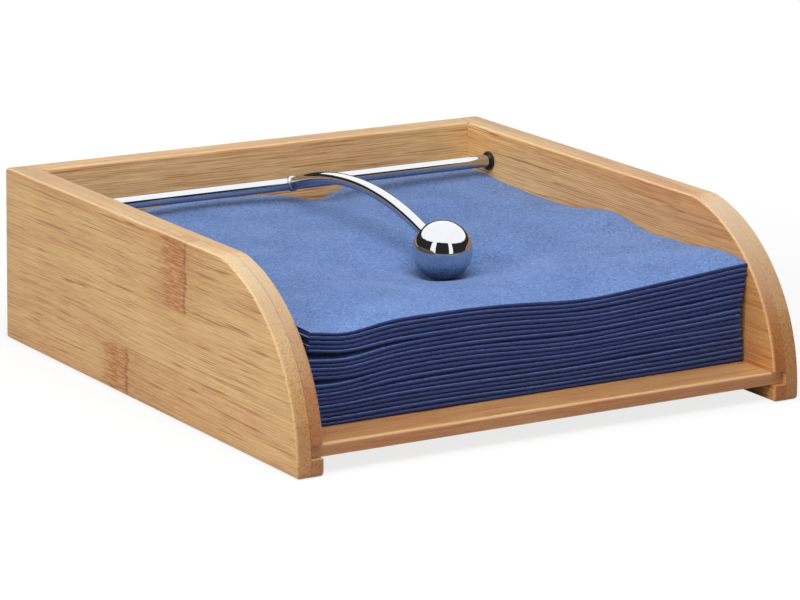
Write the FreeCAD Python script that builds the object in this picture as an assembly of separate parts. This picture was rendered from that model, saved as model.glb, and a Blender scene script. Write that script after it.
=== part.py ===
import FreeCAD, Part
import math
import os

# Bamboo napkin tray with a pivoting press arm and the folded napkins it holds, in millimetres.
#
# X runs to the right, Y to the back and Z up. The origin is the middle of the tray's footprint,
# on the surface that the tray stands on. The tray is open at the front. Its base board is let
# into grooves in the two sides and in the back. A round rod turns in two bushes in the sides and
# carries a curved arm with a ball weight, which rests on the napkins and lifts up to the back.

# Tray
tray_width = 190.0
tray_depth = 193.5
side_height = 59.5
side_thickness = 9.7
inner_ply_thickness = 4.6  # each side is two plies; the base groove is cut through the inner one
back_thickness = 9.7
base_thickness = 4.4
base_underside_height = 5.6
base_front_setback = 2.0
base_side_clearance = 0.05  # between the base board's edges and the bottoms of its grooves
base_groove_clearance = 0.05  # above and below the base board in its grooves
back_groove_depth = 4.0

# Outline and edges of the boards
front_arc_start_height = 2.0  # the front edge is plumb up to here, then one large arc
front_arc_rise = 1.0  # the full arc would pass this far above the top edge
front_arc_blend_radius = 20.0  # softens the meeting of the arc and the top edge
outline_corner_radius = 1.5
edge_radius = 0.9
foot_edge_radius = 1.8  # along the two bottom edges of each side
base_front_edge_radius = 1.1
base_front_lower_edge_radius = 0.5
base_rear_edge_radius = 0.4

# Dowels that hold the back between the sides
dowel_diameter = 5.0
dowel_length = 20.0
dowel_depth_in_side = 6.5
dowel_end_gap = 0.3
dowel_fit_clearance = 0.02
dowel_margin = 14.0  # from the top and the bottom edge of the back to a dowel's axis

# Pivot rod and its bushes
rod_diameter = 4.4
rod_below_top = 11.2
rod_in_front_of_back = 14.3
rod_running_clearance = 0.05
rod_end_play = 0.3
rod_end_chamfer = 0.4
bush_wall = 0.6
bush_depth = 6.0
bush_flange_lip = 0.55  # how far the flange stands out past the sleeve
bush_flange_thickness = 1.0
bush_rim_radius = 0.4
bush_fit_clearance = 0.02

# Press arm and its ball weight
arm_diameter = 4.2
arm_from_middle = 3.2
arm_chord = 96.5  # from the rod's axis to the ball's centre
arm_root_angle = 22.0  # between the arm and its chord, at the rod
arm_tip_angle = 17.5  # between the arm and its chord, at the ball
arm_root_straight = 4.3
weld_throat = 0.6
weld_rim_radius = 0.45
ball_diameter = 20.0
ball_socket_depth = 8.0
ball_socket_clearance = 0.02

# Napkins, folded square, with their fold at the front
napkin_count = 20
napkin_thickness = 1.2
napkin_front_setback = 17.0
napkin_rear_gap = 0.9
napkin_left_gap = 3.8
napkin_right_gap = 0.8
paper_clearance = 0.3  # under the stack, under the top napkin and under the ball

# Derived places
front_y = -tray_depth / 2
back_y = tray_depth / 2
back_inner_y = back_y - back_thickness
inner_half_width = tray_width / 2 - side_thickness
base_top_height = base_underside_height + base_thickness
groove_end_y = back_inner_y + back_groove_depth
rod_y = back_inner_y - rod_in_front_of_back
rod_z = side_height - rod_below_top
bush_bore_radius = rod_diameter / 2 + rod_running_clearance
bush_outer_radius = bush_bore_radius + bush_wall
bush_flange_radius = bush_outer_radius + bush_flange_lip
stack_bottom = base_top_height + paper_clearance
top_napkin_bottom = stack_bottom + (napkin_count - 1) * napkin_thickness + paper_clearance
ball_centre_z = top_napkin_bottom + napkin_thickness + paper_clearance + ball_diameter / 2
arm_rest_angle = math.degrees(math.asin((rod_z - ball_centre_z) / arm_chord))

ALONG_X = FreeCAD.Vector(1, 0, 0)
OVERCUT = 1.0  # how far a cutting tool runs past the face it enters


def point(x, y, z):
    return FreeCAD.Vector(x, y, z)


def box(low, high):
    return Part.makeBox(high[0] - low[0], high[1] - low[1], high[2] - low[2], point(*low))


def cylinder(radius, start, end):
    axis = end.sub(start)
    return Part.makeCylinder(radius, axis.Length, start, axis)


def arc_about(centre, radius, start_angle, end_angle):
    """An arc in the YZ plane; angles in degrees, from +Y towards +Z."""

    def on_circle(angle):
        turn = math.radians(angle)
        return point(0, centre[0] + radius * math.cos(turn), centre[1] + radius * math.sin(turn))

    middle_angle = (start_angle + end_angle) / 2
    return Part.Arc(on_circle(start_angle), on_circle(middle_angle), on_circle(end_angle)).toShape()


def closed_outline(arcs):
    """A wire in the YZ plane: the arcs in order, with a straight line from each to the next."""
    edges = []
    for arc, following in zip(arcs, arcs[1:] + arcs[:1]):
        start = arc.Vertexes[-1].Point
        end = following.Vertexes[0].Point
        edges.append(arc)
        if start.distanceToPoint(end) > Part.Precision.confusion():
            edges.append(Part.LineSegment(start, end).toShape())
    return Part.Wire(edges)


def rounded_section(low, high, radii):
    """A rectangle in the YZ plane, rounded at back bottom, back top, front top, front bottom."""
    (y0, z0), (y1, z1) = low, high
    back_bottom, back_top, front_top, front_bottom = radii
    return closed_outline(
        [
            arc_about((y1 - back_bottom, z0 + back_bottom), back_bottom, -90, 0),
            arc_about((y1 - back_top, z1 - back_top), back_top, 0, 90),
            arc_about((y0 + front_top, z1 - front_top), front_top, 90, 180),
            arc_about((y0 + front_bottom, z0 + front_bottom), front_bottom, 180, 270),
        ]
    )


def bar_along_x(outline, x0, x1):
    bar = Part.Face(outline).extrude(point(x1 - x0, 0, 0))
    bar.translate(point(x0, 0, 0))
    return bar


def side_outline():
    """The side board's outline: plumb at the foot, a large front arc, a soft blend, a flat top."""
    corner = outline_corner_radius
    arc_radius = side_height - front_arc_start_height + front_arc_rise
    arc_y = front_y + arc_radius
    blend = front_arc_blend_radius
    blend_z = side_height - blend
    reach = arc_radius - blend
    blend_y = arc_y - math.sqrt(reach**2 - (blend_z - front_arc_start_height) ** 2)
    meeting_angle = math.degrees(math.atan2(blend_z - front_arc_start_height, blend_y - arc_y))
    return closed_outline(
        [
            arc_about((back_y - corner, corner), corner, -90, 0),
            arc_about((back_y - corner, side_height - corner), corner, 0, 90),
            arc_about((blend_y, blend_z), blend, 90, meeting_angle),
            arc_about((arc_y, front_arc_start_height), arc_radius, meeting_angle, 180),
            arc_about((front_y + corner, corner), corner, 180, 270),
        ]
    )


def foot_envelope(outer_x, inner_x):
    """A bar over the side's whole length, square above and with both bottom edges rounded."""
    low = (outer_x, front_y - OVERCUT, 0)
    high = (inner_x, back_y + OVERCUT, side_height + OVERCUT)
    bar = box(low, high)
    bottom_edges = [
        edge
        for edge in bar.Edges
        if edge.BoundBox.ZMax < Part.Precision.confusion() and edge.BoundBox.YLength > side_height
    ]
    return bar.makeFillet(foot_edge_radius, bottom_edges)


def left_side():
    """The left side as one board, before it is told apart into its plies."""
    outer_x = -tray_width / 2
    inner_x = -inner_half_width
    board = bar_along_x(side_outline(), outer_x, inner_x)
    rims = [
        edge
        for edge in board.Edges
        if abs(edge.BoundBox.XLength) < Part.Precision.confusion()
    ]
    eased = board.makeFillet(edge_radius, rims).common(foot_envelope(outer_x, inner_x))
    # The inner rim stays square where the back meets it, so the joint is flush.
    joint_zone = box(
        (inner_x - max(edge_radius, foot_edge_radius), back_inner_y, -OVERCUT),
        (inner_x + OVERCUT, back_y + OVERCUT, side_height + OVERCUT),
    )
    eased = eased.fuse(board.common(joint_zone))
    groove = box(
        (
            inner_x - inner_ply_thickness,
            front_y - OVERCUT,
            base_underside_height - base_groove_clearance,
        ),
        (
            inner_x + OVERCUT,
            groove_end_y + base_side_clearance,
            base_top_height + base_groove_clearance,
        ),
    )
    bush_hole = cylinder(
        bush_outer_radius + bush_fit_clearance,
        point(inner_x - bush_depth, rod_y, rod_z),
        point(inner_x + OVERCUT, rod_y, rod_z),
    )
    tools = [groove, bush_hole]
    for height in dowel_heights():
        tools.append(
            cylinder(
                dowel_diameter / 2 + dowel_fit_clearance,
                point(inner_x - dowel_depth_in_side - dowel_end_gap, dowel_y(), height),
                point(inner_x + OVERCUT, dowel_y(), height),
            )
        )
    return eased.cut(tools).removeSplitter()


def plies(side):
    """The outer and the inner ply of the left side."""
    seam_x = -inner_half_width - inner_ply_thickness
    beyond = tray_width
    outer = side.common(box((seam_x - beyond, -beyond, -beyond), (seam_x, beyond, beyond)))
    inner = side.common(box((seam_x, -beyond, -beyond), (seam_x + beyond, beyond, beyond)))
    return outer, inner


def mirrored(shape):
    return shape.mirror(point(0, 0, 0), ALONG_X)


def dowel_y():
    return back_y - back_thickness / 2


def dowel_heights():
    return [dowel_margin, side_height - dowel_margin]


def back_panel():
    corner = outline_corner_radius
    outline = rounded_section(
        (back_inner_y, 0), (back_y, side_height), (corner, corner, edge_radius, edge_radius)
    )
    panel = bar_along_x(outline, -inner_half_width, inner_half_width)
    groove = box(
        (
            -inner_half_width - OVERCUT,
            back_inner_y - OVERCUT,
            base_underside_height - base_groove_clearance,
        ),
        (
            inner_half_width + OVERCUT,
            groove_end_y + base_side_clearance,
            base_top_height + base_groove_clearance,
        ),
    )
    tools = [groove]
    depth = dowel_length - dowel_depth_in_side + dowel_end_gap
    for side in (-1, 1):
        for height in dowel_heights():
            tools.append(
                cylinder(
                    dowel_diameter / 2 + dowel_fit_clearance,
                    point(side * (inner_half_width + OVERCUT), dowel_y(), height),
                    point(side * (inner_half_width - depth), dowel_y(), height),
                )
            )
    return panel.cut(tools)


def back_dowels():
    """Four grooveless dowels: two at each end of the back."""
    dowels = []
    for side in (-1, 1):
        outer_x = side * (inner_half_width + dowel_depth_in_side)
        inner_x = outer_x - side * dowel_length
        for height in dowel_heights():
            start = point(outer_x, dowel_y(), height)
            end = point(inner_x, dowel_y(), height)
            dowels.append(cylinder(dowel_diameter / 2, start, end))
    return Part.makeCompound(dowels)


def base_board():
    half_length = inner_half_width + inner_ply_thickness - base_side_clearance
    outline = rounded_section(
        (front_y + base_front_setback, base_underside_height),
        (groove_end_y, base_top_height),
        (
            base_rear_edge_radius,
            base_rear_edge_radius,
            base_front_edge_radius,
            base_front_lower_edge_radius,
        ),
    )
    return bar_along_x(outline, -half_length, half_length)


def left_bush():
    """A flanged sleeve, turned about the rod's axis and pushed into the side from the inside."""
    wall_x = -inner_half_width
    sleeve_end = wall_x - bush_depth + bush_fit_clearance
    flange_face = wall_x + bush_flange_thickness
    outline = [
        (sleeve_end, bush_bore_radius),
        (flange_face, bush_bore_radius),
        (flange_face, bush_flange_radius),
        (wall_x, bush_flange_radius),
        (wall_x, bush_outer_radius),
        (sleeve_end, bush_outer_radius),
    ]
    corners = [point(x, rod_y + radius, rod_z) for x, radius in outline]
    section = Part.Face(Part.makePolygon(corners + corners[:1]))
    bush = section.revolve(point(0, rod_y, rod_z), ALONG_X, 360)
    rims = [
        edge
        for edge in bush.Edges
        if edge.Curve.TypeId == "Part::GeomCircle"
        and abs(edge.Curve.Radius - bush_flange_radius) < Part.Precision.confusion()
    ]
    return bush.makeFillet(bush_rim_radius, rims)


def pivot_rod():
    half_length = inner_half_width + bush_depth - rod_end_play
    start = point(-half_length, rod_y, rod_z)
    end = point(half_length, rod_y, rod_z)
    rod = cylinder(rod_diameter / 2, start, end)
    rims = [edge for edge in rod.Edges if edge.Curve.TypeId == "Part::GeomCircle"]
    return rod.makeChamfer(rod_end_chamfer, rims)


def arm_frame():
    """Origin on the rod's axis, and unit vectors along the chord to the ball and square to it."""
    slope = math.radians(arm_rest_angle)
    origin = point(arm_from_middle, rod_y, rod_z)
    along = point(0, -math.cos(slope), -math.sin(slope))
    square = point(0, -math.sin(slope), math.cos(slope))
    return origin, along, square


def arm_path():
    """The arm's centre line: root, start of the bend, end of the bend, ball centre, bend centre."""
    origin, along, square = arm_frame()
    root = math.radians(arm_root_angle)
    tip = math.radians(arm_tip_angle)
    root_leg = arm_chord * math.sin(tip) / math.sin(root + tip)
    tip_leg = arm_chord * math.sin(root) / math.sin(root + tip)
    bent_leg = root_leg - arm_root_straight
    bend_radius = bent_leg / math.tan((root + tip) / 2)

    def place(u, v):
        return origin.add(along * u).add(square * v)

    root_way = (math.cos(root), math.sin(root))
    tip_way = (-math.cos(tip), math.sin(tip))
    bend_start = place(*(arm_root_straight * part for part in root_way))
    tip_straight = tip_leg - bent_leg
    bend_end = place(arm_chord + tip_straight * tip_way[0], tip_straight * tip_way[1])
    bend_centre = place(
        arm_root_straight * root_way[0] + bend_radius * root_way[1],
        arm_root_straight * root_way[1] - bend_radius * root_way[0],
    )
    return origin, bend_start, bend_end, place(arm_chord, 0), bend_centre


def arm_solid():
    """The arm's wire with its root still inside the rod."""
    root, bend_start, bend_end, ball_centre, bend_centre = arm_path()
    radius = arm_diameter / 2
    way_in = ball_centre.sub(bend_end).normalize()
    end = ball_centre.sub(way_in * (ball_diameter / 2 - ball_socket_depth))
    section = Part.Face(Part.Wire(Part.makeCircle(radius, bend_start, bend_start.sub(root))))
    bend = section.revolve(bend_centre, ALONG_X, arm_root_angle + arm_tip_angle)
    pieces = [bend, cylinder(radius, bend_end, end)]
    return cylinder(radius, root, bend_start).fuse(pieces).removeSplitter()


def press_arm():
    """The arm, coped to sit on the rod."""
    return arm_solid().cut(rod_blank(rod_diameter / 2))


def rod_blank(radius):
    """A length of rod about the arm's root, at any radius."""
    reach = arm_diameter
    start = point(arm_from_middle - reach, rod_y, rod_z)
    end = point(arm_from_middle + reach, rod_y, rod_z)
    return cylinder(radius, start, end)


def arm_weld():
    """The rounded bead of weld along the seam of arm and rod."""
    root, bend_start = arm_path()[:2]
    collar = cylinder(arm_diameter / 2 + weld_throat, root, bend_start)
    bead = collar.common(rod_blank(rod_diameter / 2 + weld_throat))
    rim = [edge for edge in bead.Edges if edge.Curve.TypeId == "Part::GeomBSplineCurve"]
    return bead.makeFillet(weld_rim_radius, rim).cut([rod_blank(rod_diameter / 2), arm_solid()])


def ball_weight():
    """The ball, bored to take the end of the arm."""
    bend_end, ball_centre = arm_path()[2:4]
    way_out = bend_end.sub(ball_centre).normalize()
    radius = ball_diameter / 2
    ball = Part.makeSphere(radius, ball_centre)
    floor = ball_centre.add(way_out * (radius - ball_socket_depth - ball_socket_clearance))
    mouth = ball_centre.add(way_out * (radius + OVERCUT))
    return ball.cut(cylinder(arm_diameter / 2 + ball_socket_clearance, floor, mouth))


def napkin(bottom):
    """One folded napkin: a flat slab, rounded along its fold at the front."""
    fold = napkin_thickness / 2
    rear_y = back_inner_y - napkin_rear_gap
    start_y = front_y + napkin_front_setback
    top = bottom + napkin_thickness
    fold_arc = arc_about((start_y + fold, bottom + fold), fold, 90, 270)
    corners = [
        fold_arc.Vertexes[-1].Point,
        point(0, rear_y, bottom),
        point(0, rear_y, top),
        fold_arc.Vertexes[0].Point,
    ]
    outline = Part.Wire([fold_arc] + Part.makePolygon(corners).Edges)
    left_x = -inner_half_width + napkin_left_gap
    right_x = inner_half_width - napkin_right_gap
    return bar_along_x(outline, left_x, right_x)


def napkins():
    """The stack, from the lowest napkin up; the last one lies loose on the rest."""
    bottoms = [stack_bottom + layer * napkin_thickness for layer in range(napkin_count - 1)]
    bottoms.append(top_napkin_bottom)
    return [napkin(bottom) for bottom in bottoms]


def all_parts():
    outer_ply, inner_ply = plies(left_side())
    bush = left_bush()
    parts = {
        "left_side_outer_ply": outer_ply,
        "left_side_inner_ply": inner_ply,
        "right_side_outer_ply": mirrored(outer_ply),
        "right_side_inner_ply": mirrored(inner_ply),
        "back_panel": back_panel(),
        "base_board": base_board(),
        "back_dowels": back_dowels(),
        "left_rod_bush": bush,
        "right_rod_bush": mirrored(bush),
        "pivot_rod": pivot_rod(),
        "press_arm": press_arm(),
        "arm_weld": arm_weld(),
        "ball_weight": ball_weight(),
    }
    for number, piece in enumerate(napkins(), start=1):
        parts[f"napkin_{number:02d}"] = piece
    return parts


os.makedirs("parts", exist_ok=True)
for name, shape in all_parts().items():
    shape.exportStep(f"parts/{name}.step")
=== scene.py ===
import math

import bpy
import numpy as np
from mathutils import Matrix, Vector


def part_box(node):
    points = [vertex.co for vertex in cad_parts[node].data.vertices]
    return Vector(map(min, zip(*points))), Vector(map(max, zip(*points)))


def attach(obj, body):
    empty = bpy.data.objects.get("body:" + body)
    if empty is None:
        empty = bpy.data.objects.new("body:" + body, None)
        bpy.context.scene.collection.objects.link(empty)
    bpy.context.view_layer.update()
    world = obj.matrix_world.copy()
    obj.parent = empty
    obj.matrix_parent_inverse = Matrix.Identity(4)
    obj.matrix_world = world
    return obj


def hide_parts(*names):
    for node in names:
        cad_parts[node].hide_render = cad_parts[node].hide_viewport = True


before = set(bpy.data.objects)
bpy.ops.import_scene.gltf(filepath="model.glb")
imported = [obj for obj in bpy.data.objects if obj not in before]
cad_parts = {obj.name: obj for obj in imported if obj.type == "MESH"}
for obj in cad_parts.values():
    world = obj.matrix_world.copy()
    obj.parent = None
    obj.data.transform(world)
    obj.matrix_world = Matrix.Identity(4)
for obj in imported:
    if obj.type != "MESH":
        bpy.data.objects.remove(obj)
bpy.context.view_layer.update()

MM = 0.001
X, Y, Z = 0, 1, 2

# ---------------------------------------------------------------- camera
# Angles in degrees, place and lens in millimetres, far limit in metres.
CAMERA_AZIMUTH = 32.484
CAMERA_ELEVATION = 14.1247
CAMERA_ROLL = 0.9797
CAMERA_PLACE = (-676.47, -1065.95, 341.05)
CAMERA_LENS = 176.43
CAMERA_SENSOR = 36.0
CAMERA_FAR = 50.0

# ---------------------------------------------------------------- napkins
# Squares of tissue folded in half twice, the second fold to the front. Sizes in millimetres.
NAPKIN_COUNT = 20
TISSUE_THICKNESS = 0.24
PACKET_THICKNESS = 1.3
FIRST_FOLD_RADIUS = PACKET_THICKNESS / 8
SECOND_FOLD_RADIUS = PACKET_THICKNESS / 4
# A napkin is pressed thinner by this share at its folds and edges, and over this reach.
FOLD_PINCH = 0.26
FOLD_PINCH_REACH = 4.0

# Mesh steps round a fold, and then over a leaf: (steps along x, steps along y, how much the
# steps along y crowd near the front fold). Bends sharper than the angle, in degrees, stay crisp.
FOLD_STEPS = 8
TOP_STEPS = (84, 84, 1.0)
SECOND_STEPS = (56, 56, 1.0)
LOWER_STEPS = (48, 12, 1.5)
CRISP_ANGLE = 50.0

# How a napkin differs from its neighbours: (most, stride, phase) of a sine over its number.
# A slip is how much longer its upper leaf is, and a shift how far it lies aside, both in
# millimetres, and the turn is in radians. The whole stack also sways sideways once.
SLIP_X = (0.35, 1.9, 0.0)
SLIP_Y = (0.35, 2.7, 1.0)
SHIFT_X = (0.25, 2.9, 0.0)
SHIFT_Y = (0.08, 2.3, 0.0)
TURN = (0.0007, 1.7, 0.0)
SWAY_REACH = 0.75
SWAY_MIDDLE = -0.35

# Unevenness of a napkin's thickness: (share, length along x, length along y, strides), with
# the lengths in millimetres and the strides, from napkin to napkin, in radians.
SLOW_WAVE = (0.15, 23.0, 31.0, 2.1, 1.3)
QUICK_WAVE = (0.06, 9.0, 14.0, 4.7)

# The top of the stack: a level, and gentle swells and hollows on it.
# Each is (x, y, reach along x, reach along y, height), in millimetres.
STACK_LEVEL = 41.6
SWELLS = (
    (-68.0, -84.0, 12.0, 26.0, -2.4),
    (22.0, -84.0, 26.0, 26.0, -2.4),
    (88.0, -66.0, 22.0, 18.0, 3.3),
    (88.0, -38.0, 18.0, 9.0, 1.1),
    (88.0, -4.0, 22.0, 18.0, 3.8),
    (20.0, 90.0, 9.0, 16.0, -4.0),
    (-30.0, 79.0, 34.0, 14.0, 2.0),
    (-86.0, 90.0, 32.0, 13.0, -2.7),
    (34.0, 46.0, 30.0, 13.0, 2.1),
    (84.0, 80.0, 30.0, 18.0, 1.9),
    (50.0, 86.0, 20.0, 12.0, 0.9),
    (0.0, 20.0, 40.0, 22.0, 0.7),
)
# The hollow under the ball weight, a wide sag and a close cup: (reach along x, along y, height).
BALL_SAG = (34.0, 22.0, -4.8)
BALL_CUP = (9.0, 9.0, -2.1)

# Gaps where the stack opens along its front: (napkin that it lies under, height,
# middle along x, reach along x, reach back from the front), in millimetres.
STACK_GAPS = (
    (16, 2.1, -81.5, 26.0, 40.0),
    (11, 1.5, -81.5, 16.0, 30.0),
    (18, 0.4, 30.0, 24.0, 24.0),
    (15, 0.45, 66.0, 22.0, 24.0),
    (13, 0.5, 6.0, 30.0, 22.0),
    (12, 0.35, 84.0, 24.0, 26.0),
    (8, 0.4, -34.0, 26.0, 20.0),
    (6, 0.4, 44.0, 34.0, 20.0),
)

# ---------------------------------------------------------------- studio
# The floor's half width and how far it lies under the object, in metres.
FLOOR_REACH = 6.0
FLOOR_DROP = 0.0001
# The camera sees the floor shaded, with a glow of this strength, up to the first distance from
# the object's middle, and plain white from the second one on, in millimetres.
FLOOR_GLOW = 0.80
FLOOR_SHADE_REACH = 150.0
FLOOR_PLAIN_REACH = 330.0
# What the metal mirrors. A bright ceiling begins at a height that tilts along x and y, with a
# ragged and slightly blurred edge. Bright slits are (direction along x, along y, half width),
# and their half width and blur are in degrees.
CEILING_TILT = (-0.14, -0.13, 0.0)
CEILING_HEIGHT = 0.475
CEILING_RAGGED = 0.10
CEILING_BLUR = 0.012
SLITS = ((-0.942, -0.334, 10.5), (0.0, -1.0, 7.5))
SLIT_BLUR = 1.0
STUDIO_BRIGHT = (1.6, 1.6, 1.62, 1.0)
STUDIO_DARK = (0.035, 0.035, 0.04, 1.0)
STUDIO_FILL = (0.24, 0.24, 0.245, 1.0)
WHITE = (1.0, 1.0, 1.0, 1.0)
BLACK = (0.0, 0.0, 0.0, 1.0)
# Lamps are (name, place, target, width, height, watts), in metres.
SOFTBOXES = (
    ("softbox_overhead", (-0.15, -0.03, 0.85), (0.0, 0.02, 0.0), 0.70, 0.60, 1.5),
    ("softbox_near", (-0.10, -0.27, 0.46), (0.0, 0.06, 0.04), 0.45, 0.22, 1.4),
    ("softbox_left", (-1.35, -0.18, 0.62), (0.0, 0.0, 0.02), 0.90, 0.90, 10.6),
    ("softbox_back", (0.1, 0.95, 0.12), (0.0, 0.09, 0.03), 0.60, 0.20, 2.2),
    ("softbox_right", (0.95, 0.05, 0.12), (0.09, 0.0, 0.03), 0.60, 0.20, 0.9),
)


# ---------------------------------------------------------------- shader helpers
def linear(red, green, blue):
    """A colour given as 0 to 255 display values, as the shader's linear values."""
    def channel(value):
        value = value / 255.0
        return value / 12.92 if value <= 0.04045 else ((value + 0.055) / 1.055) ** 2.4
    return (channel(red), channel(green), channel(blue), 1.0)


class Graph:
    """The shader nodes of one material or world, added and joined by short calls."""

    def __init__(self, owner):
        owner.use_nodes = True
        self.tree = owner.node_tree
        self.tree.nodes.clear()

    def add(self, kind, inputs=None, **settings):
        """A node of that kind, with each input set to a value or joined to a socket."""
        node = self.tree.nodes.new("ShaderNode" + kind)
        for key, value in settings.items():
            setattr(node, key, value)
        for key, value in (inputs or {}).items():
            if isinstance(value, bpy.types.NodeSocket):
                self.tree.links.new(value, node.inputs[key])
            else:
                node.inputs[key].default_value = value
        return node

    def math(self, operation, a, b=0.0, c=0.0):
        return self.add("Math", {0: a, 1: b, 2: c}, operation=operation).outputs[0]

    def product(self, first, *others):
        """All the values multiplied together."""
        result = first
        for other in others:
            result = self.math("MULTIPLY", result, other)
        return result

    def mix(self, factor, a, b, blend="MIX"):
        inputs = {0: factor, 6: a, 7: b}
        return self.add("Mix", inputs, data_type="RGBA", blend_type=blend).outputs[2]

    def ramp(self, value, low, high, to_low=0.0, to_high=1.0):
        """value from low to high, brought smoothly to a value from to_low to to_high. The ramp
        runs down where low is the larger one."""
        inputs = {0: value, 1: low, 2: high, 3: to_low, 4: to_high}
        return self.add("MapRange", inputs, interpolation_type="SMOOTHSTEP").outputs[0]

    def vector(self, x, y, z):
        return self.add("CombineXYZ", {0: x, 1: y, 2: z}).outputs[0]

    def scaled(self, parts, scales):
        """The vector of three values, each times a scale of its own."""
        return self.vector(*[self.product(part, scale) for part, scale in zip(parts, scales)])

    def split(self, vector):
        """A vector's x, y and z as three sockets."""
        return tuple(self.add("SeparateXYZ", {0: vector}).outputs)

    def measure(self, operation, a, b=(0.0, 0.0, 0.0)):
        """The length of a vector, or the dot product of two."""
        return self.add("VectorMath", {0: a, 1: b}, operation=operation).outputs["Value"]

    def noise(self, vector, scale=1.0, detail=2.0, roughness=0.5, distortion=0.0):
        inputs = {
            "Vector": vector,
            "Scale": scale,
            "Detail": detail,
            "Roughness": roughness,
            "Distortion": distortion,
        }
        return self.add("TexNoise", inputs).outputs[0]

    def bump(self, height, strength, distance, normal=None):
        """A bumpy normal, with its distance in metres. normal is another bump that this one
        is added to."""
        inputs = {"Strength": strength, "Distance": distance, "Height": height}
        if normal is not None:
            inputs["Normal"] = normal
        return self.add("Bump", inputs).outputs[0]

    def place(self):
        """The point on the object as three sockets x, y and z, in millimetres."""
        inputs = {0: self.add("TexCoord").outputs["Object"], "Scale": 1.0 / MM}
        return self.split(self.add("VectorMath", inputs, operation="SCALE").outputs[0])

    def facing(self):
        """The way the surface faces as three sockets x, y and z."""
        return self.split(self.add("TexCoord").outputs["Normal"])

    def seen(self):
        """1 for what the camera sees, also through glass, and 0 for all other light."""
        rays = self.add("LightPath").outputs
        return self.math("MAXIMUM", rays["Is Camera Ray"], rays["Is Transmission Ray"])

    def finish_surface(self, **inputs):
        """The Principled shader with these inputs, joined to the material's output."""
        shader = self.add("BsdfPrincipled", {k.replace("_", " "): v for k, v in inputs.items()})
        self.add("OutputMaterial", {"Surface": shader.outputs[0]})


def give(node_name, material):
    """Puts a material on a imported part, in place of the plain one."""
    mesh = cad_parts[node_name].data
    mesh.materials.clear()
    mesh.materials.append(material)


# ---------------------------------------------------------------- bamboo
BAMBOO_PALE = linear(222, 183, 123)
BAMBOO_GOLD = linear(212, 166, 112)
BAMBOO_FLECK = linear(236, 200, 146)
BAMBOO_FIBRE = linear(146, 84, 26)
BAMBOO_RING = linear(172, 96, 34)
BAMBOO_LINE = linear(124, 64, 12)
# The pale of painted highlights along the arrises.
BAMBOO_ARRIS_HIGHLIGHT = linear(242, 210, 162)
# The cream of a painted sheen where the edges start to curve down.
BAMBOO_SHEEN = linear(199, 183, 154)
BAMBOO_RED = (0.96, 0.80, 0.70, 1.0)
# Painted shade that darkens a board towards its near end.
BAMBOO_FRONT_SHADE = (0.72, 0.52, 0.38, 1.0)
BAMBOO_END = (0.97, 0.87, 0.87, 1.0)

# Layers of grain, all noise drawn out along the fibres: (cells a millimetre along the fibres,
# cells a millimetre across them, detail, shift that sets one layer apart from the others).
BANDS = (0.016, 0.11, 2.0, 3.0)
LINES = (0.024, 1.0, 2.0, 11.0)
THREADS = (0.09, 3.6, 2.0, 29.0)
FLECKS = (0.12, 2.6, 1.0, 91.0)
CROWDING = (0.014, 0.09, 1.0, 71.0)
HAIRS = (0.010, 0.68, 0.0, 17.0)
HAIR_BREAKS = (0.045, 0.8, 1.0, 19.0)
# Vessels of the cane show as short dashes: (layer, strength). The crowding layer adds its
# share to each, so that they crowd in some places.
VESSELS = (
    ((0.024, 3.8, 0.0, 47.0), 0.52),
    ((0.036, 5.2, 0.0, 53.0), 0.54),
    ((0.065, 6.8, 0.0, 61.0), 0.50),
)
VESSEL_CROWDING = 0.10
LAYER_ROUGHNESS = 0.6
# The noise at which a layer begins to show and at which it shows in full. Hairlines follow
# the noise's middle value, and their range is the distance from it.
FIBRE_RANGE = (0.50, 0.74)
FLECK_RANGE = (0.58, 0.72)
VESSEL_RANGE = (0.675, 0.775)
HAIR_RANGE = (0.036, 0.008)
# Where hairlines fade and where they are full, and how strong they are in either.
HAIR_BREAK_RANGE = (0.40, 0.58, 0.05, 0.78)

# How much each layer and each strip's own tone counts in the ground colour, the sums at which
# that is pale and gold, and how much of a strip's redness shows by the bands of its grain.
BAND_SHARE = 0.7
LINE_SHARE = 0.45
STRIP_SHARE = 0.12
TONE_RANGE = (0.46, 0.82)
RED_RANGE = (0.25, 0.65, 0.4, 1.0)
# A strip's width in millimetres, and where its joint begins and is full, in widths from its
# middle.
STRIP_WIDTH = 20.0
JOINT_RANGE = (0.488, 0.499)
# How strongly things are drawn over the ground colour, and how far the grain stands up.
FIBRE_STRENGTH = 0.30
FLECK_STRENGTH = 0.4
JOINT_STRENGTH = 0.22
DOT_STRENGTH = 0.38
SHEEN_STRENGTH = 0.48
GLUE_STRENGTH = 0.36
GRAIN_RELIEF = 0.3

# How things come and go as the surface turns: the facings where they are none and full, or
# two facings and the strengths there. A surface's facing along a direction is 1 where it is
# square to that direction, and 0 where it runs along it.
CUT_ACROSS = (0.2, 0.95)
CUT_SQUARE = (0.90, 1.0)
CUT_DOTS = (0.2, 0.9)
DASHES_BY_END = (0.6, 0.1, 0.12, 1.0)
DASHES_BY_EDGE = (0.7, 1.0, 1.0, 0.55)
JOINTS_BY_END = (0.3, 0.1)
# Where the edges' tint, a painted sheen where it is paler, and their painted sheen of cream come in.
TINT_AND_SHEEN_BY_EDGE = (0.7, 1.0)
SHEEN_BY_EDGE = (0.3, 1.0)
SHEEN_BY_END = (0.1, 0.35)
# Where the painted arris highlights come in, by the facing through the board.
HIGHLIGHT_BY_FACE = (0.10, 0.45)
HIGHLIGHT_OFF_FACE = (0.99, 0.80)
GLUE_BY_FACE = (0.6, 0.2)
# Painted arris highlights are fainter where CUT_ACROSS is near full, (two amounts of it and the
# strengths there), and follow the threads, (what a thread adds, what is there without it).
HIGHLIGHT_BY_CUT = (0.1, 0.9, 1.0, 0.30)
HIGHLIGHT_BY_THREAD = (0.5, 0.12)

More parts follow.
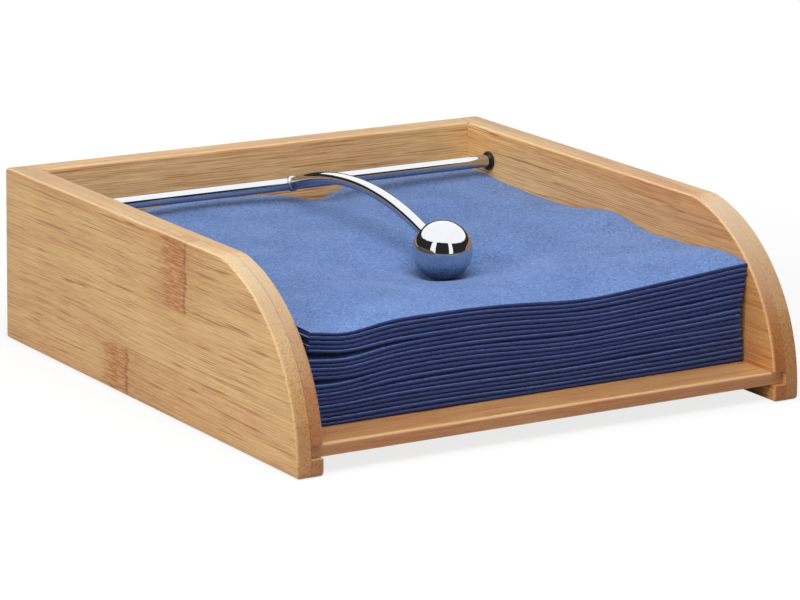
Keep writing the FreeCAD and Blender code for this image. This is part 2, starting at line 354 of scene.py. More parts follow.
# The fibres wander over this reach, in millimetres, by noise of these cells a millimetre.
WANDER_REACH = 2.0
WANDER_CELLS = (0.012, 0.03, 0.03)
# How far one step of a board's seed moves its noise, in millimetres, and its strips' tones.
SEED_STRIDE = 137.0
STRIP_SEED_STRIDE = 3.7

# Growth rings of the cane, in millimetres. The front wavers and the back frays by these
# reaches, and each pair is a distance from the front line where a thing is gone and one where
# it is full. Cells a millimetre are along the fibres and across them, and the 1 is the seed's.
RING_WAVER = 4.4
RING_WAVER_CELLS = (0.05, 0.35, 1.0)
RING_FRAY = 7.0
RING_WISP_CELLS = (0.17, 2.1, 1.0)
RING_SIDE_BLUR = 0.8
RING_FRONT = (-1.8, 0.0)
RING_BACK = (13.0, 3.0)
RING_LINE = (1.3, 0.2)
RING_HALO = (30.0, 5.0)
# Wisps break a ring up: the noise where they begin and are full, and how full they are where
# the pale gaps between them begin and are full. Strengths by wisp are (what a full wisp adds,
# what is there without it).
RING_WISPS = (0.40, 0.60)
RING_GAPS = (0.3, 0.0)
RING_HALO_BY_WISP = (0.22, 0.08)
RING_BAND_BY_WISP = (0.60, 0.26)
RING_LINE_BY_WISP = (0.5, 0.5)
RING_LINE_STRENGTH = 0.62
RING_PALE_STRENGTH = 0.22
# Dots of the cut ends, in cells a millimetre and by noise, and in millimetres where a glue
# line is gone and full, and where painted shade begins to darken a board towards its near end
# and is full.
DOT_CELLS = (1.1, 1.4, 1.4)
DOT_RANGE = (0.50, 0.64)
GLUE_LINE = (0.30, 0.06)
FRONT_SHADE_RANGE = (75.0, -85.0)


class Board(Graph):
    """The shader nodes of one board of glued bamboo strips. axes are its three directions:
    along the fibres, across the strips on the board's face, and through the board."""

    def __init__(self, material, axes, seed, strip_start):
        super().__init__(material)
        grain, across, depth = axes
        place = self.place()
        self.along = place[grain]
        self.over = place[across]
        self.through = place[depth]
        facing = self.facing()
        self.end_facing = self.math("ABSOLUTE", facing[grain])
        self.edge_facing = self.math("ABSOLUTE", facing[across])
        self.face_facing = self.math("ABSOLUTE", facing[depth])
        self.cut_across = self.ramp(self.end_facing, *CUT_ACROSS)

        self.seed = seed
        self.wandering = self.wander()
        from_start = self.math("SUBTRACT", self.over, strip_start)
        self.strip = self.math("DIVIDE", from_start, STRIP_WIDTH)
        self.bands = self.layer(BANDS)
        self.lines = self.layer(LINES)
        self.threads = self.layer(THREADS)

    def wander(self):
        """The place across the fibres, which wander a little from straight."""
        seeded = self.math("ADD", self.over, self.seed * SEED_STRIDE)
        point = self.scaled((self.along, seeded, self.through), WANDER_CELLS)
        drift = self.math("SUBTRACT", self.noise(point, detail=1.0), 0.5)
        return self.math("MULTIPLY_ADD", drift, WANDER_REACH, seeded)

    def layer(self, settings):
        """One layer of grain."""
        along_cells, across_cells, detail, shift = settings
        point = self.vector(
            self.math("MULTIPLY_ADD", self.along, along_cells, shift),
            self.math("MULTIPLY", self.wandering, across_cells),
            self.math("MULTIPLY", self.through, across_cells),
        )
        return self.noise(point, detail=detail, roughness=LAYER_ROUGHNESS)

    def ground(self):
        """The tones of the strips, with fine fibres and pale flecks."""
        strip_point = self.vector(self.math("FLOOR", self.strip), self.seed * STRIP_SEED_STRIDE, 0.5)
        strip_noise = self.add("TexWhiteNoise", {"Vector": strip_point}, noise_dimensions="3D")
        tone = self.math("MULTIPLY", self.bands, BAND_SHARE)
        tone = self.math("MULTIPLY_ADD", self.lines, LINE_SHARE, tone)
        tone = self.math("MULTIPLY_ADD", strip_noise.outputs[0], STRIP_SHARE, tone)
        colour = self.mix(self.ramp(tone, *TONE_RANGE), BAMBOO_PALE, BAMBOO_GOLD)
        fibres = self.product(self.ramp(self.threads, *FIBRE_RANGE), FIBRE_STRENGTH)
        colour = self.mix(fibres, colour, BAMBOO_FIBRE)
        flecks = self.product(self.ramp(self.layer(FLECKS), *FLECK_RANGE), FLECK_STRENGTH)
        return self.mix(flecks, colour, BAMBOO_FLECK)

    def dashes(self):
        """How dark the vessels and hairlines of the cane are. They are fainter on the board's
        cut ends and edges."""
        crowding = self.layer(CROWDING)
        dark = 0.0
        for settings, strength in VESSELS:
            vessel = self.math("MULTIPLY_ADD", crowding, VESSEL_CROWDING, self.layer(settings))
            vessel = self.product(self.ramp(vessel, *VESSEL_RANGE), strength)
            dark = self.math("MAXIMUM", dark, vessel)
        contour = self.math("SUBTRACT", self.layer(HAIRS), 0.5)
        hairs = self.ramp(self.math("ABSOLUTE", contour), *HAIR_RANGE)
        hairs = self.product(hairs, self.ramp(self.layer(HAIR_BREAKS), *HAIR_BREAK_RANGE))
        dark = self.math("MAXIMUM", dark, hairs)
        dark = self.product(dark, self.ramp(self.end_facing, *DASHES_BY_END))
        return self.product(dark, self.ramp(self.edge_facing, *DASHES_BY_EDGE))

    def with_joints(self, colour):
        """Thin darker lines where two strips are glued, not drawn on the cut ends."""
        from_middle = self.math("SUBTRACT", self.math("FRACT", self.strip), 0.5)
        joint = self.ramp(self.math("ABSOLUTE", from_middle), *JOINT_RANGE)
        joint = self.product(joint, JOINT_STRENGTH, self.ramp(self.end_facing, *JOINTS_BY_END))
        return self.mix(joint, colour, BAMBOO_FIBRE)

    def with_reds(self, colour, reds):
        """Some strips are redder than others. reds are how red, each turn and turn about."""
        turn = self.math("FLOORED_MODULO", self.math("FLOOR", self.strip), float(len(reds)))
        redness = 0.0
        for index, red in enumerate(reds):
            chosen = self.math("COMPARE", turn, float(index), 0.5)
            redness = self.math("MULTIPLY_ADD", chosen, red, redness)
        redness = self.product(redness, self.ramp(self.bands, *RED_RANGE))
        return self.mix(redness, colour, self.mix(1.0, colour, BAMBOO_RED, blend="MULTIPLY"))

    def with_rings(self, colour, rings):
        """Growth rings of the cane: (place along the fibres, middle across, half width across),
        in millimetres."""
        waver_point = self.scaled((self.along, self.over, self.seed + 1.0), RING_WAVER_CELLS)
        waver = self.math("SUBTRACT", self.noise(waver_point, detail=3.0), 0.5)
        wavering = self.math("MULTIPLY_ADD", waver, RING_WAVER, self.along)
        wisp_point = self.scaled((self.along, self.wandering, self.seed + 5.0), RING_WISP_CELLS)
        wisps = self.ramp(self.noise(wisp_point, roughness=LAYER_ROUGHNESS), *RING_WISPS)
        for ring in rings:
            colour = self.with_ring(colour, ring, wavering, wisps)
        return colour

    def with_ring(self, colour, ring, wavering, wisps):
        """A reddish band across a strip, sharp and dark at its front and frayed at its back,
        with a faint halo on both sides."""
        ring_along, ring_across, half_width = ring
        run = self.math("SUBTRACT", wavering, ring_along)
        distance = self.math("ABSOLUTE", run)
        aside = self.math("ABSOLUTE", self.math("SUBTRACT", self.over, ring_across))
        inside = self.ramp(aside, half_width + RING_SIDE_BLUR, half_width - RING_SIDE_BLUR)

        halo = self.product(self.ramp(distance, *RING_HALO), inside)
        halo = self.product(halo, self.math("MULTIPLY_ADD", wisps, *RING_HALO_BY_WISP))
        colour = self.mix(halo, colour, BAMBOO_FIBRE)

        behind = self.ramp(self.math("MULTIPLY_ADD", wisps, -RING_FRAY, run), *RING_BACK)
        on_band = self.product(behind, self.ramp(run, *RING_FRONT), inside)
        band = self.product(on_band, self.math("MULTIPLY_ADD", wisps, *RING_BAND_BY_WISP))
        colour = self.mix(band, colour, BAMBOO_RING)
        pale = self.product(on_band, self.ramp(wisps, *RING_GAPS), RING_PALE_STRENGTH)
        colour = self.mix(pale, colour, BAMBOO_FLECK)

        line = self.product(self.ramp(distance, *RING_LINE), inside, RING_LINE_STRENGTH)
        line = self.product(line, self.math("MULTIPLY_ADD", wisps, *RING_LINE_BY_WISP))
        return self.mix(line, colour, BAMBOO_LINE)

    def with_cut_ends(self, colour, cut_tint_and_shade):
        """Where the surface cuts across the fibres, it is darker, with fine dots. The darkening is
        partly the end grain's own colour and partly painted shade.
        """
        dot_point = self.scaled((self.along, self.over, self.through), DOT_CELLS)
        dots = self.ramp(self.noise(dot_point, detail=1.0, roughness=0.7), *DOT_RANGE)
        dots = self.product(self.ramp(self.end_facing, *CUT_DOTS), dots, DOT_STRENGTH)
        colour = self.mix(dots, colour, BAMBOO_FIBRE)
        square = self.ramp(self.end_facing, *CUT_SQUARE)
        colour = self.mix(square, colour, BAMBOO_END, blend="MULTIPLY")
        return self.mix(self.cut_across, colour, cut_tint_and_shade, blend="MULTIPLY")

    def with_edges(self, colour, edge_tint_and_sheen):
        """The edges get a tint, which is a painted sheen where it makes them paler, and a painted
        sheen of cream where they start to curve down.
        """
        curving = self.ramp(self.end_facing, *SHEEN_BY_END)
        painted_sheen = self.product(self.ramp(self.edge_facing, *SHEEN_BY_EDGE), curving, SHEEN_STRENGTH)
        colour = self.mix(painted_sheen, colour, BAMBOO_SHEEN)
        on_edge = self.ramp(self.edge_facing, *TINT_AND_SHEEN_BY_EDGE)
        return self.mix(on_edge, colour, edge_tint_and_sheen, blend="MULTIPLY")

    def with_arris_highlights(self, colour):
        """Painted highlights along the arrises, paler thread by thread, and fainter along the cut
        ends.
        """
        off_face = self.ramp(self.face_facing, *HIGHLIGHT_OFF_FACE)
        arris_highlight = self.product(self.ramp(self.face_facing, *HIGHLIGHT_BY_FACE), off_face)
        arris_highlight = self.product(arris_highlight, self.math("MULTIPLY_ADD", self.threads, *HIGHLIGHT_BY_THREAD))
        arris_highlight = self.product(arris_highlight, self.ramp(self.cut_across, *HIGHLIGHT_BY_CUT))
        return self.mix(arris_highlight, colour, BAMBOO_ARRIS_HIGHLIGHT)

    def with_glue_line(self, colour, seam):
        """A glue line where two plies meet. It shows on the edges, not on the faces."""
        from_seam = self.math("ABSOLUTE", self.math("SUBTRACT", self.through, seam))
        off_face = self.ramp(self.face_facing, *GLUE_BY_FACE)
        glue = self.product(self.ramp(from_seam, *GLUE_LINE), off_face, GLUE_STRENGTH)
        return self.mix(glue, colour, BAMBOO_LINE)


def bamboo(
    name, axes, seed, strip_start, reds, edge_tint_and_sheen, cut_tint_and_shade,
    rings=(), seam=None, tint=None, front_shade=0.0,
):
    """Glued bamboo strips. strip_start is where one strip begins, and reds are how red the
    strips are from that one on. The edge tint colours the board's edges, as a painted sheen where
    it makes them paler, and the cut tint darkens the surface that cuts across the fibres, partly
    as the end grain's own colour and partly as painted shade. seam is the place of a glue line
    through the board. The whole board's tint colours it, and is painted light where it is above 1:
    it brightens a board whose seen side is in the shade. The front shade is painted shade that
    darkens and browns the board towards its near end."""
    material = bpy.data.materials.new(name)
    board = Board(material, axes, seed, strip_start)
    dashes = board.dashes()
    colour = board.mix(dashes, board.ground(), BAMBOO_FIBRE)
    colour = board.with_joints(colour)
    colour = board.with_reds(colour, reds)
    # Painted shade, darker and browner towards the board's near end.
    if front_shade:
        front_shading = board.product(board.ramp(board.along, *FRONT_SHADE_RANGE), front_shade)
        colour = board.mix(front_shading, colour, BAMBOO_FRONT_SHADE, blend="MULTIPLY")
    if rings:
        colour = board.with_rings(colour, rings)
    colour = board.with_cut_ends(colour, cut_tint_and_shade)
    colour = board.with_edges(colour, edge_tint_and_sheen)
    # A tint over the whole board; above 1 it is painted light, brightening a side in the shade.
    if tint is not None:
        colour = board.mix(1.0, colour, tint, blend="MULTIPLY")
    colour = board.with_arris_highlights(colour)
    if seam is not None:
        colour = board.with_glue_line(colour, seam)

    height = board.product(board.lines, GRAIN_RELIEF)
    height = board.math("MULTIPLY_ADD", dashes, -GRAIN_RELIEF, height)
    height = board.math("MULTIPLY_ADD", board.threads, GRAIN_RELIEF, height)
    board.finish_surface(
        Base_Color=colour,
        Roughness=board.math("MULTIPLY_ADD", board.threads, 0.14, 0.32),
        Specular_IOR_Level=0.3,
        Coat_Weight=0.35,
        Coat_Roughness=0.28,
        Normal=board.bump(height, 0.2, 0.00012),
    )
    return material


def finish_boards():
    """Each board's bamboo. Tints above 1 are painted light: they brighten boards whose seen side is
    in the shade.
    """
    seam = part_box("left_side_outer_ply")[1][0] / MM
    # The sides' edges are tinted paler: a painted sheen along their top edges.
    side = {"axes": (Y, Z, X), "edge_tint_and_sheen": (1.04, 1.08, 1.12, 1.0)}
    back_and_base_cut = (0.88, 0.74, 0.72, 1.0)
    give("left_side_outer_ply", bamboo(
        "bamboo_left_side_outer_ply", seed=1.0, strip_start=16.2, reds=(0.1, 0.0, 0.15),
        cut_tint_and_shade=(0.84, 0.77, 0.76, 1.0), seam=seam,
        rings=((-27.0, 47.7, 11.6), (11.0, 6.5, 9.3)), **side,
    ))
    give("left_side_inner_ply", bamboo(
        "bamboo_left_side_inner_ply", seed=2.0, strip_start=9.0, reds=(0.6, 0.3, 0.1),
        cut_tint_and_shade=(0.68, 0.54, 0.55, 1.0), seam=seam, **side,
    ))
    give("right_side_inner_ply", bamboo(
        "bamboo_right_side_inner_ply", seed=3.0, strip_start=14.0, reds=(0.5, 0.15, 0.6),
        cut_tint_and_shade=(0.69, 0.56, 0.47, 1.0), tint=(1.20, 1.26, 1.34, 1.0), front_shade=0.8, **side,
    ))
    give("right_side_outer_ply", bamboo(
        "bamboo_right_side_outer_ply", seed=4.0, strip_start=16.0, reds=(0.1, 0.3, 0.4),
        cut_tint_and_shade=(0.73, 0.64, 0.53, 1.0),
        rings=((34.0, 26.0, 9.6), (-42.0, 6.5, 9.3)), **side,
    ))
    give("back_panel", bamboo(
        "bamboo_back", (X, Z, Y), seed=5.0, strip_start=18.0, reds=(0.3, 0.1, 0.3),
        edge_tint_and_sheen=(0.98, 0.96, 0.94, 1.0), cut_tint_and_shade=back_and_base_cut,
        tint=(1.26, 1.33, 1.42, 1.0),
    ))
    give("base_board", bamboo(
        "bamboo_base", (X, Y, Z), seed=6.0, strip_start=3.0, reds=(0.2, 0.5, 0.3),
        edge_tint_and_sheen=(0.82, 0.70, 0.70, 1.0), cut_tint_and_shade=back_and_base_cut,
        tint=(1.0, 0.93, 0.93, 1.0),
    ))


def dowel_wood():
    """Pale hardwood of the dowels, straight-grained along the dowel."""
    material = bpy.data.materials.new("dowel_beech")
    graph = Graph(material)
    grain = graph.noise(graph.scaled(graph.place(), (0.1, 1.8, 1.0)), detail=3.0)
    graph.finish_surface(
        Base_Color=graph.mix(grain, linear(222, 190, 150), linear(186, 146, 104)),
        Roughness=graph.math("MULTIPLY_ADD", grain, 0.2, 0.5),
        Normal=graph.bump(grain, 0.3, 0.0001),
    )
    return material


# ---------------------------------------------------------------- metal and plastic
CHROME_DARK = (0.53, 0.545, 0.575, 1.0)
CHROME_LIGHT = (0.58, 0.59, 0.61, 1.0)
# Tones of painted shade, multiplied into the chrome where it faces down over the napkins.
BALL_PAINTED_SHADE = (0.36, 0.40, 0.50, 1.0)
ROD_PAINTED_SHADE = (0.66, 0.52, 0.60, 1.0)
# The upward facings where the painted shade under the metal begins and is full, and the noise
# and the roughness of the metal and of the plastic where they are smoothest and roughest.
PAINTED_SHADE_BELOW_RANGE = (-0.15, -0.70)
CHROME_ROUGHNESS = (0.3, 0.7, 0.025, 0.055)
PLASTIC_ROUGHNESS = (0.3, 0.7, 0.3, 0.42)


def chrome(name, painted_shade, ripple_scale=0.12, ripple_strength=0.06):
    """Polished chrome, with a faint unevenness of the plating. The tone it is given for where it
    faces down is painted shade: it darkens what the metal mirrors close over the napkins."""
    material = bpy.data.materials.new(name)
    graph = Graph(material)
    point = graph.vector(*graph.place())
    haze = graph.noise(point, scale=0.35, detail=3.0)
    ripple = graph.noise(point, scale=ripple_scale, detail=1.0)
    colour = graph.mix(haze, CHROME_DARK, CHROME_LIGHT)
    # Painted shade where the metal faces down.
    down = graph.ramp(graph.facing()[Z], *PAINTED_SHADE_BELOW_RANGE)
    graph.finish_surface(
        Base_Color=graph.mix(down, colour, painted_shade, blend="MULTIPLY"),
        Metallic=1.0,
        Roughness=graph.ramp(haze, *CHROME_ROUGHNESS),
        Normal=graph.bump(ripple, ripple_strength, 0.0002),
    )
    return material


def bush_plastic():
    """Dark brown moulded plastic of the two bushes."""
    material = bpy.data.materials.new("bush_dark_plastic")
    graph = Graph(material)
    grit = graph.noise(graph.vector(*graph.place()), scale=4.0, detail=3.0)
    graph.finish_surface(
        Base_Color=graph.mix(grit, linear(26, 18, 16), linear(44, 32, 28)),
        Roughness=graph.ramp(grit, *PLASTIC_ROUGHNESS),
        Normal=graph.bump(grit, 0.25, 0.00005),
    )
    return material


def finish_fittings():
    """Wood, plastic and metal of the small parts."""
    give("back_dowels", dowel_wood())
    plastic = bush_plastic()
    give("left_rod_bush", plastic)
    give("right_rod_bush", plastic)
    steel = chrome("polished_chrome", ROD_PAINTED_SHADE)
    give("pivot_rod", steel)
    give("press_arm", steel)
    give("ball_weight", chrome("ball_chrome", BALL_PAINTED_SHADE))
    give("arm_weld", chrome("weld_chrome", ROD_PAINTED_SHADE, ripple_scale=1.4, ripple_strength=0.5))


# ---------------------------------------------------------------- napkins
NAPKIN_LIGHT = linear(129, 160, 216)
NAPKIN_DARK = linear(79, 110, 168)
# Painted shade: on the folds and edges that stand on end, and multiplied into the crevices.
NAPKIN_UPRIGHT_SHADE = linear(52, 61, 116)
NAPKIN_CREVICE_SHADE = (0.40, 0.42, 0.55, 1.0)
CREPE_CELLS = (0.9, 2.2, 2.2)
FIBRE_SHARE = 0.88
CLOUD_SHARE = 0.12
# The mottle where the tissue is dark and light, and the upward facings where the painted shade of
# the folds and edges that stand on end, and that of the crevices, begins and is full.
MOTTLE_RANGE = (0.40, 0.60)
UPRIGHT_SHADE_RANGE = (0.98, 0.75)
CREVICE_SHADE_RANGE = (-0.05, -0.60)


def tissue():
    """Blue two-ply tissue: fine crepe ridges, loose fibres and a soft mottle. Painted shade darkens
    the folds and cut edges, where the sheets stand on end, and the crevices, where they face down."""
    material = bpy.data.materials.new("napkin_tissue")
    graph = Graph(material)
    place = graph.place()
    crepe = graph.noise(graph.scaled(place, CREPE_CELLS), detail=3.0, roughness=0.65, distortion=0.6)
    point = graph.vector(*place)
    fibres = graph.noise(point, scale=1.3, detail=4.0, roughness=0.75, distortion=1.2)
    clouds = graph.noise(point, scale=0.05)
    mottle = graph.math("MULTIPLY_ADD", fibres, FIBRE_SHARE, graph.product(clouds, CLOUD_SHARE))
    colour = graph.mix(graph.ramp(mottle, *MOTTLE_RANGE), NAPKIN_DARK, NAPKIN_LIGHT)
    up = graph.facing()[Z]
    # Painted shade where the sheets stand on end.
    upright = graph.ramp(graph.math("ABSOLUTE", up), *UPRIGHT_SHADE_RANGE)
    colour = graph.mix(upright, colour, NAPKIN_UPRIGHT_SHADE)
    # Painted shade in the crevices, where the sheets face down.
    crevice_shade = graph.ramp(up, *CREVICE_SHADE_RANGE)
    graph.finish_surface(
        Base_Color=graph.mix(crevice_shade, colour, NAPKIN_CREVICE_SHADE, blend="MULTIPLY"),
        Roughness=graph.math("MULTIPLY_ADD", fibres, 0.1, 0.85),
        Specular_IOR_Level=0.15,
        Sheen_Weight=0.08,
        Sheen_Roughness=0.6,
        Normal=graph.bump(fibres, 0.55, 0.00015, graph.bump(crepe, 0.4, 0.00012)),
    )
    return material


def ball_middle():
    """The ball weight's middle, x and y in millimetres."""
    low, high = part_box("ball_weight")
    return (low[X] + high[X]) / 2 / MM, (low[Y] + high[Y]) / 2 / MM


def hill(x, y, middle_x, middle_y, reach_x, reach_y):
    """A smooth hill, 1 high at its middle."""
    return np.exp(-(((x - middle_x) / reach_x) ** 2) - ((y - middle_y) / reach_y) ** 2)


def stack_top(x, y):
    """Height of the stack's upper face at points x, y, in millimetres."""
    height = np.full_like(x, STACK_LEVEL)
    for middle_x, middle_y, reach_x, reach_y, rise in SWELLS:
        height += rise * hill(x, y, middle_x, middle_y, reach_x, reach_y)
    ball_x, ball_y = ball_middle()
    for reach_x, reach_y, rise in (BALL_SAG, BALL_CUP):
        height += rise * hill(x, y, ball_x, ball_y, reach_x, reach_y)
    return height


def packet_share(number, x, y):
    """How thick one napkin is at points x, y, against its neighbours."""
    slow_share, slow_x, slow_y, stride_x, stride_y = SLOW_WAVE
    quick_share, quick_x, quick_y, stride = QUICK_WAVE
    slow = np.sin(x / slow_x + number * stride_x) * np.cos(y / slow_y + number * stride_y)
    quick = np.sin(x / quick_x + number * stride + y / quick_y)
    return 1.0 + slow_share * slow + quick_share * quick


def gap_share(number, x, y, front):
    """The open gap under one napkin, against a napkin's thickness."""
    share = np.zeros_like(x)
    for over, height, middle_x, reach_x, reach_y in STACK_GAPS:
        if over == number:
            share += height / PACKET_THICKNESS * hill(x, y, middle_x, front, reach_x, reach_y)
    return share


def packet_faces(number, x, y):
    """Heights of one napkin's lower and upper face at points x, y, in millimetres. All the
    napkins and gaps share the height between the base board and the stack's top."""
    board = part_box("base_board")[1][2] / MM
    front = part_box("napkin_01")[0][1] / MM
    numbers = range(1, NAPKIN_COUNT + 1)
    gaps = [gap_share(other, x, y, front) for other in numbers]
    packets = [packet_share(other, x, y) for other in numbers]
    layers = [gap + packet for gap, packet in zip(gaps, packets)]
    below = sum(layers[:number - 1]) + gaps[number - 1]
    scale = (stack_top(x, y) - board) / sum(layers)
    return board + below * scale, board + (below + packets[number - 1]) * scale


def scatter(number, most, stride, phase):
    """A value of up to most, up or down, that differs from napkin to napkin."""
    return most * math.sin(number * stride + phase)


def fold(distance, radius):
    """A sheet folded in half round a small radius. distance runs over the sheet from its fold,
    negative on the upper leaf. Returns the depth behind the fold's front, the height over the
    fold's middle, and the outward normal as (depth, height)."""
    turn = np.clip(distance / radius, -math.pi / 2, math.pi / 2)
    straight = np.maximum(np.abs(distance) - radius * math.pi / 2, 0.0)
    depth = radius * (1.0 - np.cos(turn)) + straight
    height = -radius * np.sin(turn)
    return depth, height, -np.cos(turn), -np.sin(turn)


def sheet_steps(leaf, radius, count, crowd, slip):
    """Places over a folded sheet, from one free edge over the fold to the other. The steps
    crowd near the fold where crowd is above 1. The slip is added to the upper leaf's length
    and taken from the lower one's."""
    arc = radius * math.pi / 2
    run = arc + (leaf - arc) * (np.arange(1, count + 1) / count) ** crowd
    bend = np.linspace(-arc, arc, FOLD_STEPS + 1)
    upper = -(run[::-1] + slip * (run[::-1] / leaf))
    lower = run - slip * (run / leaf)
    return np.concatenate([upper, bend, lower])


def folded_packet(number, steps_x, steps_y, crowd_y):
    """One napkin folded in half twice, first at its right side, then at its front: x and y of
    its points, and their height over the packet's middle, in millimetres."""
    low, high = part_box("napkin_%02d" % number)
    right = high[X] / MM
    front = low[Y] / MM
    leaf_x = (high[X] - low[X]) / MM
    leaf_y = (high[Y] - low[Y]) / MM
    over_x = sheet_steps(leaf_x, FIRST_FOLD_RADIUS, steps_x, 1.0, scatter(number, *SLIP_X))
    over_y = sheet_steps(leaf_y, SECOND_FOLD_RADIUS, steps_y, crowd_y, scatter(number, *SLIP_Y))
    depth_x, height_x, _, _ = fold(over_x, FIRST_FOLD_RADIUS)
    depth_y, height_y, outward_y, outward_z = fold(over_y, SECOND_FOLD_RADIUS)

    rows = len(over_y)
    lift = np.tile(height_x, (rows, 1))
    x = right - np.tile(depth_x, (rows, 1))
    y = front + depth_y[:, None] + outward_y[:, None] * lift
    height = height_y[:, None] + outward_z[:, None] * lift

    from_side = np.minimum(right - x, x - right + leaf_x)
    from_end = np.minimum(y - front, front + leaf_y - y)
    from_edge = np.maximum(np.minimum(from_side, from_end), 0.0)
    pinch = FOLD_PINCH * np.exp(-(from_edge / FOLD_PINCH_REACH) ** 2)
    return x, y, height * (1.0 - pinch)


def laid_in_stack(number, x, y):
    """x and y of a napkin's points, shifted and turned a little against its neighbours."""
    share = (NAPKIN_COUNT - number) / NAPKIN_COUNT
    shift_x = SWAY_REACH * math.cos(share * 2.0 * math.pi) + SWAY_MIDDLE
    shift_x += scatter(number, *SHIFT_X)
    shift_y = scatter(number, *SHIFT_Y)
    turn = scatter(number, *TURN)
    x = x + shift_x - turn * y
    y = y + shift_y + turn * x
    return x, y


def napkin_mesh(number, steps):
    """The middle surface of one napkin's paper, as it lies in the stack."""
    x, y, height = folded_packet(number, *steps)
    x, y = laid_in_stack(number, x, y)
    lower, upper = packet_faces(number, x, y)
    z = lower + (height / PACKET_THICKNESS + 0.5) * (upper - lower)
    points = np.stack([x, y, z], axis=-1).reshape(-1, 3) * MM

    rows, columns = x.shape
    corner = (np.arange(rows - 1)[:, None] * columns + np.arange(columns - 1)).reshape(-1)
    faces = np.stack([corner, corner + 1, corner + columns + 1, corner + columns], axis=-1)
    mesh = bpy.data.meshes.new("napkin_leaf_%02d" % number)
    mesh.from_pydata(points.tolist(), [], faces.tolist())
    return mesh


def thicken(piece):
    """Gives the paper its thickness, soft shading and crisp cut edges."""
    solidify = piece.modifiers.new("tissue", "SOLIDIFY")
    solidify.thickness = TISSUE_THICKNESS * MM
    solidify.offset = 0.0
    depsgraph = bpy.context.evaluated_depsgraph_get()
    mesh = bpy.data.meshes.new_from_object(piece.evaluated_get(depsgraph))
    piece.modifiers.clear()
    piece.data = mesh
    mesh.polygons.foreach_set("use_smooth", [True] * len(mesh.polygons))
    mesh.set_sharp_from_angle(angle=math.radians(CRISP_ANGLE))


def build_napkins():
    """The stack, from the base board up. The upper two have finer meshes, because they carry
    the hollow and the swells that show."""
    paper = tissue()
    steps = {NAPKIN_COUNT: TOP_STEPS, NAPKIN_COUNT - 1: SECOND_STEPS}
    for number in range(1, NAPKIN_COUNT + 1):
        mesh = napkin_mesh(number, steps.get(number, LOWER_STEPS))
        piece = bpy.data.objects.new("napkin_sheet_%02d" % number, mesh)
        bpy.context.scene.collection.objects.link(piece)
        thicken(piece)
        piece.data.materials.clear()
        piece.data.materials.append(paper)
        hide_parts("napkin_%02d" % number)
        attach(piece, "top_napkin" if number == NAPKIN_COUNT else "napkin_stack")


# ---------------------------------------------------------------- studio
def floor_paint():
    """A pale paint that takes the object's shadow softly and is white to the camera."""
    material = bpy.data.materials.new("studio_floor_white")
    graph = Graph(material)
    x, y, z = graph.place()
    grain = graph.noise(graph.vector(x, y, z), scale=0.02)
    bounced = graph.mix(grain, linear(198, 198, 198), linear(202, 202, 202))
    shaded = graph.mix(grain, linear(124, 124, 125), linear(128, 128, 129))
    away = graph.measure("LENGTH", graph.vector(x, y, 0.0))
    shaded = graph.mix(graph.ramp(away, FLOOR_SHADE_REACH, FLOOR_PLAIN_REACH), shaded, BLACK)
    seen = graph.seen()
    matt = graph.add("BsdfDiffuse", {"Color": graph.mix(seen, bounced, shaded)})
    glow = graph.ramp(away, FLOOR_SHADE_REACH, FLOOR_PLAIN_REACH, FLOOR_GLOW, 1.0)
    light = graph.add("Emission", {"Color": WHITE, "Strength": graph.product(seen, glow)})
    both = graph.add("AddShader", {0: matt.outputs[0], 1: light.outputs[0]})
    graph.add("OutputMaterial", {"Surface": both.outputs[0]})
    return material


def build_floor():
    """A plain pale floor just under the object."""
    mesh = bpy.data.meshes.new("studio_floor")
    low, high = -FLOOR_REACH, FLOOR_REACH
    level = -FLOOR_DROP
    corners = [(low, low, level), (high, low, level), (high, high, level), (low, high, level)]
    mesh.from_pydata(corners, [], [(0, 1, 2, 3)])
    floor = bpy.data.objects.new("studio_floor", mesh)
    bpy.context.scene.collection.objects.link(floor)
    mesh.materials.append(floor_paint())


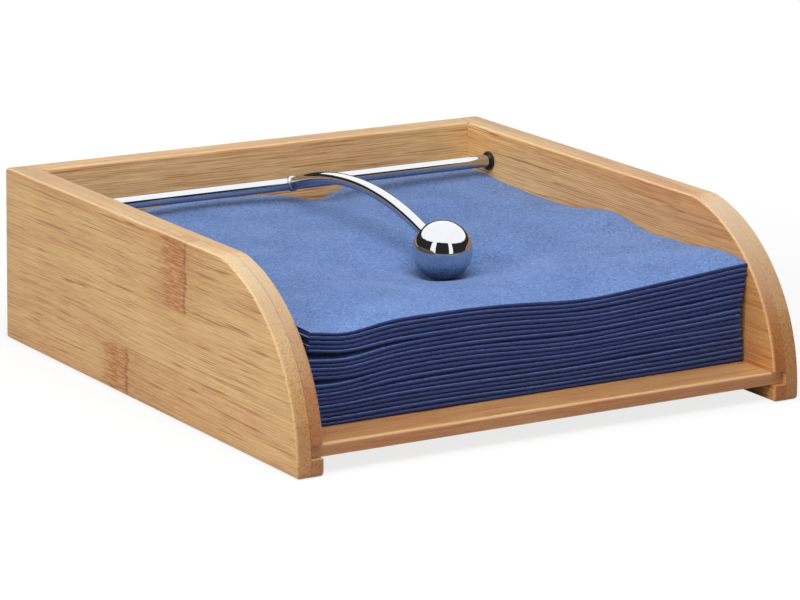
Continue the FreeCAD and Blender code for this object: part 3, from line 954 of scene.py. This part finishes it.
def build_world():
    """White to the camera, an even soft fill for the surfaces, and for the metal a studio:
    white overhead, and under it a dark band with bright slits."""
    world = bpy.data.worlds.new("studio")
    bpy.context.scene.world = world
    graph = Graph(world)
    direction = graph.add("TexCoord").outputs["Generated"]
    x, y, z = graph.split(direction)
    level = graph.add("VectorMath", {0: graph.vector(x, y, 0.0)}, operation="NORMALIZE").outputs[0]
    tilt = graph.measure("DOT_PRODUCT", level, CEILING_TILT)
    edge = graph.math("ADD", tilt, CEILING_HEIGHT - CEILING_RAGGED / 2)
    ragged = graph.noise(direction, scale=9.0, detail=3.0, roughness=0.7)
    edge = graph.math("MULTIPLY_ADD", ragged, CEILING_RAGGED, edge)
    bright = graph.ramp(graph.math("SUBTRACT", z, edge), -CEILING_BLUR, CEILING_BLUR)
    for slit_x, slit_y, half_width in SLITS:
        toward = graph.measure("DOT_PRODUCT", level, (slit_x, slit_y, 0.0))
        outer_edge = math.cos(math.radians(half_width + SLIT_BLUR))
        inner_edge = math.cos(math.radians(half_width - SLIT_BLUR))
        bright = graph.math("MAXIMUM", bright, graph.ramp(toward, outer_edge, inner_edge))
    studio = graph.mix(bright, STUDIO_DARK, STUDIO_BRIGHT)
    mirrored = graph.add("LightPath").outputs["Is Glossy Ray"]
    fill = graph.mix(mirrored, STUDIO_FILL, studio)
    colour = graph.mix(graph.seen(), fill, WHITE)
    background = graph.add("Background", {"Color": colour, "Strength": 1.0})
    graph.add("OutputWorld", {"Surface": background.outputs[0]})


def build_lights():
    """Soft area lamps. The metal mirrors the world's studio instead of the lamps."""
    for name, place, target, width, height, power in SOFTBOXES:
        light = bpy.data.lights.new(name, "AREA")
        light.shape = "RECTANGLE"
        light.size = width
        light.size_y = height
        light.energy = power
        lamp = bpy.data.objects.new(name, light)
        lamp.location = place
        aim = Vector(target) - Vector(place)
        lamp.rotation_euler = aim.to_track_quat("-Z", "Y").to_euler()
        lamp.visible_camera = False
        lamp.visible_glossy = False
        bpy.context.scene.collection.objects.link(lamp)


def build_camera():
    """The camera, from its azimuth, elevation and roll."""
    azimuth = math.radians(CAMERA_AZIMUTH)
    elevation = math.radians(CAMERA_ELEVATION)
    roll = math.radians(CAMERA_ROLL)
    forward = Vector((
        math.sin(azimuth) * math.cos(elevation),
        math.cos(azimuth) * math.cos(elevation),
        -math.sin(elevation),
    ))
    level_right = Vector((math.cos(azimuth), -math.sin(azimuth), 0.0))
    level_up = level_right.cross(forward)
    right = math.cos(roll) * level_right + math.sin(roll) * level_up
    up = math.cos(roll) * level_up - math.sin(roll) * level_right
    turn = Matrix((right, up, -forward)).transposed()
    camera_data = bpy.data.cameras.new("photo_camera")
    camera_data.sensor_width = CAMERA_SENSOR
    camera_data.lens = CAMERA_LENS
    camera_data.clip_end = CAMERA_FAR
    camera = bpy.data.objects.new("photo_camera", camera_data)
    place = Vector(CAMERA_PLACE) * MM
    camera.matrix_world = Matrix.Translation(place) @ turn.to_4x4()
    bpy.context.scene.collection.objects.link(camera)
    bpy.context.scene.camera = camera


finish_boards()
finish_fittings()
build_napkins()
build_floor()
build_world()
build_lights()
build_camera()
bpy.context.scene.view_settings.view_transform = "Standard"
